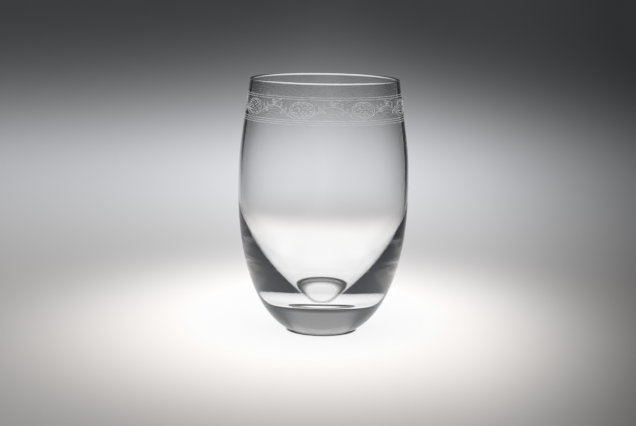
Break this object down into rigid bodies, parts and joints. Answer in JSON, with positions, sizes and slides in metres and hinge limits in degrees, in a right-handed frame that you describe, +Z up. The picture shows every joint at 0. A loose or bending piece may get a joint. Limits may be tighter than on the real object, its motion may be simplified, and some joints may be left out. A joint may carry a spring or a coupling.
{
  "type": "tall tumbler",
  "caption": "Tall clear drinking glass with a barrel-shaped wall, a rounded rim, a heavy base with a rounded heel, and a satin-white scroll band under the rim.",
  "frame": {"origin": "middle of the foot, in the plane that the glass stands on", "axes": "+Z up along the axis of the glass, front of the pictured view towards -Y"},
  "size_m": [0.0806, 0.0806, 0.12],
  "materials": {
    "glass": "clear, fire-polished",
    "satin": "satin white, matt"
  },
  "bodies": {
    "root": {"glass_body": "glass", "upper_border_line_1": "satin", "upper_border_line_2": "satin", "lower_border_line_1": "satin", "lower_border_line_2": "satin", "lower_border_line_3": "satin", "scroll_1": "satin", "scroll_2": "satin", "scroll_3": "satin", "scroll_4": "satin", "scroll_5": "satin", "scroll_6": "satin", "scroll_7": "satin", "scroll_8": "satin"}
  },
  "joints": []
}
